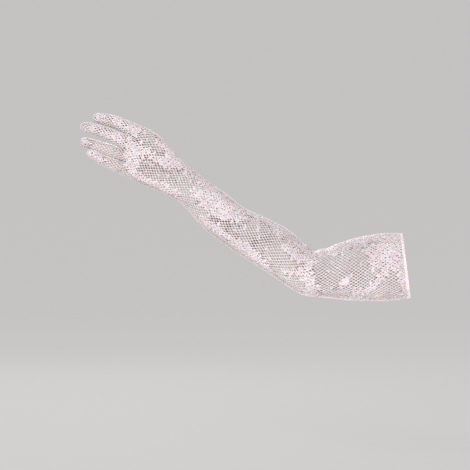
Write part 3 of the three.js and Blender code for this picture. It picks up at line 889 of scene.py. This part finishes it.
class Bed:
    """One part of a panel, with the petals, stems and flowers that can be laid on it."""

    def __init__(self, soup, chart):
        self.soup, self.chart = soup, chart
        self.sizes = HAND_SIZES if chart.part == HAND else FINGER_SIZES
        self.taken = []

    def petal(self, template, place, angle, length, width, lift=0.0):
        """A petal from the place of its stalk, made smaller until it fits on the chart."""
        flat, high, mark, faces = template
        turn = np.array(((math.cos(angle), math.sin(angle)), (-math.sin(angle), math.cos(angle))))
        while self.chart.distances(place + (PETAL_BOUNDS * (length, width)) @ turn).max() > NEAR_CHART:
            length, width = length * 0.85, width * 0.9
            if length < SHORTEST_PETAL:
                return
        laid = place + (flat * (length, width)) @ turn
        points, normals = self.chart.lay(laid)
        pressed = np.clip((laid[:, 1] - HEM_WIDTH + HEM_OVERLAP) / PRESSED_WIDTH, PRESSED_SHARE, 1)
        points = points + normals * ((lift + PETAL_LIFT + high * PETAL_RISE) * pressed)[:, None]
        self.soup.add(points, faces, mark)

    def stem(self, flat, thickness, lift=0.35):
        """A cord that stands up from the surface along flat points, thinner at its ends."""
        points, normals = self.chart.lay(flat)
        from_end = np.minimum(np.arange(len(flat)), np.arange(len(flat))[::-1])
        wide = thickness * np.clip(from_end / 2 + 0.55, 0, 1)
        add_cord(self.soup, points, normals, wide, wide * 0.8, sides=5, lift=lift, mark=0.9)

    def rose(self, place, turn, radius):
        for count, near, long, broad, lift, offset in ROSE_RINGS:
            for k in range(count):
                angle = turn + offset + 2 * math.pi * k / count
                at = place + way(angle) * near * radius
                self.petal(ROUND, at, angle, long * radius, broad * radius, lift)
        turns = np.linspace(0, 2.4 * math.pi, 15)
        shrink = radius * 0.18 * (1 - turns / 9.5)
        self.stem(place + ways(turns + turn) * shrink[:, None], 0.34, lift=1.05)

    def blossom(self, place, turn, radius):
        for k in range(5):
            angle = turn + 2 * math.pi * k / 5
            self.petal(ROUND, place + way(angle) * 0.16 * radius, angle, 0.84 * radius, 0.8 * radius)
        self.petal(DOT, place - way(turn) * 0.2 * radius, turn, 0.42 * radius, 0.42 * radius, lift=0.5)

    def leaves(self, place, angle, size):
        self.petal(LEAF, place, angle, size, size * 0.42)
        self.petal(LEAF, place, angle + 1.3, size * 0.7, size * 0.32)

    def spray(self, place, angle, length):
        """A curved stem with leaves on alternate sides and one at its end."""
        angles = angle + SPRAY_CURL * (np.linspace(0, 1, STEM_STEPS + 1) - 0.5)
        steps = ways(angles) * length / STEM_STEPS
        line = place + np.concatenate(([[0, 0]], np.cumsum(steps[:-1], axis=0)))
        self.stem(line, 0.36)
        size = length / (SPRAY_LEAVES / 2 + 1.2)
        for k in range(SPRAY_LEAVES):
            share = (k + 1) / (SPRAY_LEAVES + 1) * STEM_STEPS
            near = int(share)
            at = line[near] + (line[min(STEM_STEPS, near + 1)] - line[near]) * (share % 1)
            lean = angles[near] + (1 if k % 2 else -1) * 0.85
            self.petal(LEAF, at, lean, size * 1.15, size * 0.5)
        self.petal(LEAF, line[-1], angles[-1], size * 1.2, size * 0.52)

    def scroll(self, place, angle, radius):
        """A spiral stem with leaves on its outer turn. It winds back when it starts downwards."""
        hand = 1 if angle < math.pi else -1
        turns = np.linspace(0, 3.1 * math.pi, 26)
        shrink = radius * (1 - turns / 11.5)
        line = place + ways(angle + hand * turns) * shrink[:, None]
        self.stem(line, 0.42)
        for k in range(2, 16, 2):
            lean = angle + hand * turns[k] + hand * 0.7
            self.petal(LEAF, line[k], lean, radius * 0.55, radius * 0.28)

    def tulip(self, place, angle, size):
        for lean, long, lift in ((-0.55, 1.0, 0.0), (0.55, 1.0, 0.0), (0.0, 0.92, 0.2)):
            self.petal(LEAF, place, angle + lean, size * long, size * 0.42, lift)
        line = place - way(angle) * np.linspace(0, size * 1.5, 8)[:, None]
        line += way(angle + 1.57) * (np.linspace(0, 1, 8)[:, None] ** 2) * size * 0.35
        self.stem(line, 0.42)
        for k, side in ((3, 1), (5, -1), (6, 1)):
            self.petal(LEAF, line[k], angle + math.pi + side, size * 0.6, size * 0.26)

    def scatter(self, tries, low, high, margin, spacing):
        """Random places whose depth in the solid work lies between low and high, kept apart."""
        flat = random.uniform(self.chart.low, self.chart.high, (tries, 2))
        depth = depth_in_work(flat, self.chart)
        fits = (depth > low) & (depth < high)
        flat, depth = flat[fits], depth[fits]
        around = np.concatenate([flat + way(a) * margin for a in np.arange(6) * math.pi / 3])
        inside = (self.chart.distances(around) < NEAR_CHART).reshape(6, -1).all(axis=0)
        kept = []
        for place, d in zip(flat[inside], depth[inside]):
            reach = spacing(d)
            if all(np.hypot(*(place - other)) > reach + far for other, far in self.taken):
                self.taken.append((place, reach))
                kept.append((place, reach))
        return kept

    def fill_solid_work(self):
        """Roses where the work is widest, then blossoms, leaves out over its edge, and more leaves."""
        rose, broad, leaf = (self.sizes[name] for name in ("rose", "blossom", "leaf"))
        roses = self.scatter(FLOWER_TRIES, 6.0, DEEPEST, 5.0, lambda d: min(rose, d * 0.95) * ROSE_ROOM)
        for place, reach in roses[: self.sizes["most_roses"]]:
            self.rose(place, random.uniform(0, FULL_TURN), reach / ROSE_ROOM * 1.06)
        for place, _ in self.scatter(FLOWER_TRIES, 2.8, DEEPEST, 3.0, lambda d: broad * BLOSSOM_ROOM):
            radius = broad * random.uniform(0.92, 1.12)
            self.blossom(place, random.uniform(0, FULL_TURN), radius)
        step = np.array(((0.5, 0.0), (0.0, 0.5)))
        for place, _ in self.scatter(LEAF_TRIES, -0.6, 1.6, LEAF_MARGIN, lambda d: 2.1):
            ends = depth_in_work(np.concatenate((place + step, place - step)), self.chart)
            outward = math.atan2(ends[3] - ends[1], ends[2] - ends[0])
            angle = outward + random.uniform(-0.75, 0.75)
            length = leaf * random.uniform(0.75, 1.1)
            self.petal(LEAF, place - way(outward) * LEAF_MARGIN, angle, length, length * 0.45)
        for place, _ in self.scatter(LEAF_TRIES, 1.4, DEEPEST, LEAF_MARGIN, lambda d: 1.8):
            angle = random.uniform(0, FULL_TURN)
            length = leaf * random.uniform(0.6, 0.85)
            self.petal(LEAF, place - way(angle) * length / 2, angle, length, length * 0.46)


# Single sprays in the open net, by kind: u, v, direction in degrees, and size.
SPRAYS = {
    BACK: (
        (Bed.tulip, ((-22, 87, 43, 15),)),
        (Bed.leaves, (
            (-24, 96, 120, 8), (-12, 84, -20, 7), (24, 96, 40, 6), (31, 72, 70, 6), (15, 112, 60, 6),
            (3, 116, 100, 6), (-28, 112, 300, 6), (10, 70, 210, 6), (-8, 60, 30, 6), (-46, 22, 60, 6),
            (24, 205, 100, 7), (20, 222, 70, 7), (14, 240, 120, 7), (6, 258, 60, 8), (-6, 268, 90, 6),
            (-4, 214, 110, 6), (-16, 205, 80, 6), (4, 236, 250, 6), (-36, 180, 90, 6), (10, 372, 90, 6),
            (2, 388, 60, 7), (-12, 366, 90, 5), (-8, 418, 120, 6), (-2, 404, 80, 6), (24, 462, 60, 6),
            (24, 440, 120, 5), (-16, 438, 60, 6), (34, 470, 100, 5),
        )),
        (Bed.spray, (
            (-40, 112, 60, 13), (-48, 36, 100, 15), (26, 246, 200, 14), (24, 270, 180, 14),
            (-26, 168, 120, 14), (12, 380, 80, 13), (-3, 432, 100, 15), (8, 352, 80, 9),
        )),
        (Bed.scroll, ((12, 424, 60, 6.5), (20, 410, 200, 5.5))),
    ),
    PALM: (
        (Bed.spray, (
            (24, 84, 100, 17), (8, 120, 60, 16), (-8, 222, 80, 18), (10, 268, 110, 14),
            (2, 392, 90, 14), (-20, 446, 80, 13),
        )),
        (Bed.leaves, (
            (6, 62, 60, 7), (-14, 84, 90, 7), (44, 26, 80, 7), (-20, 206, 90, 7), (-22, 252, 100, 7),
            (28, 180, 70, 7), (-10, 376, 90, 6), (14, 412, 80, 6), (12, 446, 100, 6),
        )),
        (Bed.blossom, ((30, 104, 0, 5.5), (6, 246, 0, 5.5), (-2, 424, 0, 5))),
    ),
}


def flowers_of(panel):
    soup = Soup()
    for chart in CHARTS[panel]:
        bed = Bed(soup, chart)
        for add, places in SPRAYS[panel] if chart.part == HAND else ():
            for u, v, degrees, size in places:
                add(bed, np.array((u, v)), math.radians(degrees), size)
        bed.fill_solid_work()
    return soup


for panel, name in ((BACK, "back"), (PALM, "palm")):
    net = net_of(panel).make(f"{name}_net", NET_THREAD, "lace")
    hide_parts(f"{name}_panel")
    flowers = flowers_of(panel).make(f"{name}_flowers", PETAL_THREAD, "lace")
    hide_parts(f"{name}_panel")


# The seam runs where the two panels meet, from the cuff round every finger and back to the cuff.
def edges_by_quad():
    """Each edge of the surface, as a sorted pair of vertices, with the quads on its sides."""
    found = {}
    for q, quad in enumerate(QUADS.tolist()):
        for a, b in zip(quad, quad[1:] + quad[:1]):
            found.setdefault((min(a, b), max(a, b)), []).append(q)
    return found


def walk(edges, start):
    """The vertices along a chain of edges, from one of its ends."""
    near = {}
    for a, b in edges:
        near.setdefault(a, []).append(b)
        near.setdefault(b, []).append(a)
    path, seen = [start], {start}
    while True:
        onward = [n for n in near[path[-1]] if n not in seen]
        if not onward:
            return path
        path.append(onward[0])
        seen.add(onward[0])


EDGES = edges_by_quad()
PANELS = QUAD_CHARTS // PARTS
seam_edges = [e for e, quads in EDGES.items() if len(quads) == 2 and PANELS[quads[0]] != PANELS[quads[1]]]
SEAM_PATH = walk(seam_edges, sleeve[0][0])


def along_path(points, normals, pitch):
    """Evenly spaced places on a path: points, normals, and ways along and across it."""
    reach = reach_along(points)
    stops = np.arange(pitch / 2, reach[-1], pitch)
    at = np.stack([np.interp(stops, reach, points[:, k]) for k in range(3)], 1)
    up = unit_rows(np.stack([np.interp(stops, reach, normals[:, k]) for k in range(3)], 1))
    along = unit_rows(np.gradient(at, axis=0))
    return at, up, along, unit_rows(np.cross(up, along))


def smoothed(values, rounds):
    for _ in range(rounds):
        inner = (values[:-2] + 2 * values[1:-1] + values[2:]) / 4
        values = np.concatenate((values[:1], inner, values[-1:]))
    return values


# The seam's raised cord, the stitches over it, and the size of a stitch's thread, mm.
SEAM_HALF_WIDTH = 1.35
SEAM_HEIGHT = 0.62
SEAM_STEP = 2.2
STITCH_PITCH = 1.7
STITCH_WIDTH = 0.3
STITCH_THICKNESS = 0.24


def add_stitch(soup, line, up, sides):
    normals = np.repeat(up[None], len(line), 0)
    add_cord(soup, line, normals, STITCH_WIDTH, STITCH_THICKNESS, sides=sides, mark=1.0)


def seam_soup():
    soup = Soup()
    normals = unit_rows(smoothed(NORMALS[SEAM_PATH], 2))
    at, up, _, _ = along_path(SURFACE[SEAM_PATH], normals, SEAM_STEP)
    puckers = 1 + 0.1 * np.sin(np.arange(len(at)) * 1.9) * random.uniform(0.4, 1.0, len(at))
    add_cord(soup, at, up, SEAM_HALF_WIDTH * puckers, SEAM_HEIGHT * puckers, sides=8, lift=0.1, mark=0.75)
    at, up, along, across = along_path(SURFACE[SEAM_PATH], normals, STITCH_PITCH)
    sway = np.linspace(-1, 1, 6)
    height = 0.1 + (SEAM_HEIGHT + 0.1) * np.sqrt(1 - (sway * 0.96) ** 2)
    for k in range(len(at)):
        reach = SEAM_HALF_WIDTH + 0.05 + random.uniform(-0.08, 0.08)
        line = at[k] + across[k] * (sway * reach)[:, None] + up[k] * height[:, None]
        add_stitch(soup, line + along[k] * (sway * 0.5)[:, None], up[k], sides=4)
    return soup


seam = seam_soup().make("side_seam_stitching", SEAM_THREAD, "seam_thread")
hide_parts("side_seam")

# The hem: a turned band round the cuff, puckered a little, with a row of stitches round it.
HEM_SECTION = (
    (-0.15, -0.2), (0.1, 0.5), (0.9, 0.72), (2.0, 0.62), (2.9, 0.34), (3.6, 0.55), (4.1, 0.38),
    (HEM_WIDTH, -0.1), (3.9, -1.1), (2.9, -1.2), (1.1, -1.35), (0.1, -1.0),
)
HEM_MARK = 0.45
STITCH_ROW = 2.9
HEM_STITCH = 2.4
RIB_PITCH = 0.66
RIB_HEIGHT = 0.07
CUFF_PATH = walk([e for e, quads in EDGES.items() if len(quads) == 1], sleeve[0][0])


def closed(values):
    return np.concatenate((values, values[:1]))


def add_band(soup, at, up, inward):
    """The turned band, as rings of its section that join up round the cuff."""
    rings = []
    for k in range(len(at)):
        pucker = 1 + 0.07 * math.sin(k * 0.54) + random.uniform(-0.03, 0.03)
        rib = RIB_HEIGHT * (k % 2)
        heights = [h * pucker + rib * np.sign(h) for _, h in HEM_SECTION]
        rings.append([at[k] + inward[k] * a + up[k] * h for (a, _), h in zip(HEM_SECTION, heights)])
    points = np.array(rings).reshape(-1, 3)
    faces = turned(wall_faces(len(rings), len(HEM_SECTION), joined=True))
    soup.add(points, faces, np.full(len(points), HEM_MARK))


def hem_soup():
    soup = Soup()
    path = [*CUFF_PATH, CUFF_PATH[0]]
    at, up, _, across = along_path(SURFACE[path], NORMALS[path], RIB_PITCH)
    first_inward = SURFACE[sleeve[1][0]] - SURFACE[sleeve[0][0]]
    inward = across * np.sign(across[0] @ first_inward)
    add_band(soup, at, up, inward)
    row = closed(at) + closed(inward) * STITCH_ROW
    at, up, along, _ = along_path(row, closed(up), HEM_STITCH)
    sway = np.linspace(-1, 1, 5)
    height = 0.42 + 0.28 * (1 - sway**2)
    for k in range(len(at)):
        line = at[k] + along[k] * (sway * HEM_STITCH * 0.42)[:, None] + up[k] * height[:, None]
        add_stitch(soup, line, up[k], sides=5)
    return soup


hem = hem_soup().make("cuff_hem_band", SEAM_THREAD, "hem")
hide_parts("cuff_hem")

# Stage: a wide pale bowl, flat under the glove, and soft light from the front, behind and below, m.
FLOOR_Z = -0.32
INNER_RADIUS = 1.5
FLAT_RADIUS = 3.6
WALL_RADIUS = 5.6
WALL_TOP = 6.0
BOWL_SIDES = 96


def backdrop_profile():
    """Radius and height of each ring of the bowl."""
    bend = WALL_RADIUS - FLAT_RADIUS
    rings = [(INNER_RADIUS, 0.0), (FLAT_RADIUS, 0.0)]
    for a in np.linspace(0.1, math.pi / 2, 12):
        rings.append((FLAT_RADIUS + bend * math.sin(a), bend * (1 - math.cos(a))))
    return [*rings, (WALL_RADIUS, WALL_TOP)]


def backdrop_material():
    material = bpy.data.materials.new("studio")
    material.use_nodes = True
    shader = material.node_tree.nodes["Principled BSDF"]
    shader.inputs["Base Color"].default_value = (0.04, 0.04, 0.04, 1)
    shader.inputs["Roughness"].default_value = 0.9
    shader.inputs["Emission Color"].default_value = (0.62, 0.61, 0.605, 1)
    shader.inputs["Emission Strength"].default_value = 0.84
    return material


def backdrop():
    profile, middle_x = backdrop_profile(), VIEW_MIDDLE[0] * MM
    points = [(middle_x, 0.0, FLOOR_Z)]
    for radius, height in profile:
        for k in range(BOWL_SIDES):
            angle = 2 * math.pi * k / BOWL_SIDES
            x, y = middle_x + radius * math.cos(angle), radius * math.sin(angle)
            points.append((x, y, FLOOR_Z + height))
    faces = [(0, 1 + k, 1 + (k + 1) % BOWL_SIDES) for k in range(BOWL_SIDES)]
    faces += turned(1 + wall_faces(len(profile), BOWL_SIDES))
    studio = add_piece("studio", points, faces, backdrop_material())


def area_light(name, place, size, power, length=None, aim=(-0.25, 0.03, 0.08)):
    """A round light of one size, or a long one when a length is given too, m. It can't be seen."""
    data = bpy.data.lights.new(name, "AREA")
    data.shape = "DISK" if length is None else "RECTANGLE"
    data.size = length or size
    data.size_y = size
    data.energy = power
    light = bpy.data.objects.new(name, data)
    light.location = place
    light.visible_camera = False
    direction = Vector(aim) - Vector(place)
    light.rotation_euler = direction.to_track_quat("-Z", "Y").to_euler()
    bpy.context.scene.collection.objects.link(light)


backdrop()
area_light("key", (-1.2, -2.0, 1.5), 0.6, 46)
area_light("fill", (0.9, -2.0, 0.5), 1.2, 6)
area_light("back", (-0.7, 2.2, 1.2), 1.0, 29)
area_light("under", (-0.3, -0.16, -0.3), 0.3, 1.1, length=0.8, aim=(-0.3, -0.16, 0.0))
world = bpy.data.worlds.new("studio_air")
world.use_nodes = True
world.node_tree.nodes["Background"].inputs["Color"].default_value = (0.95, 0.95, 0.97, 1)
world.node_tree.nodes["Background"].inputs["Strength"].default_value = 0.2
bpy.context.scene.world = world
bpy.context.scene.view_settings.view_transform = "Standard"
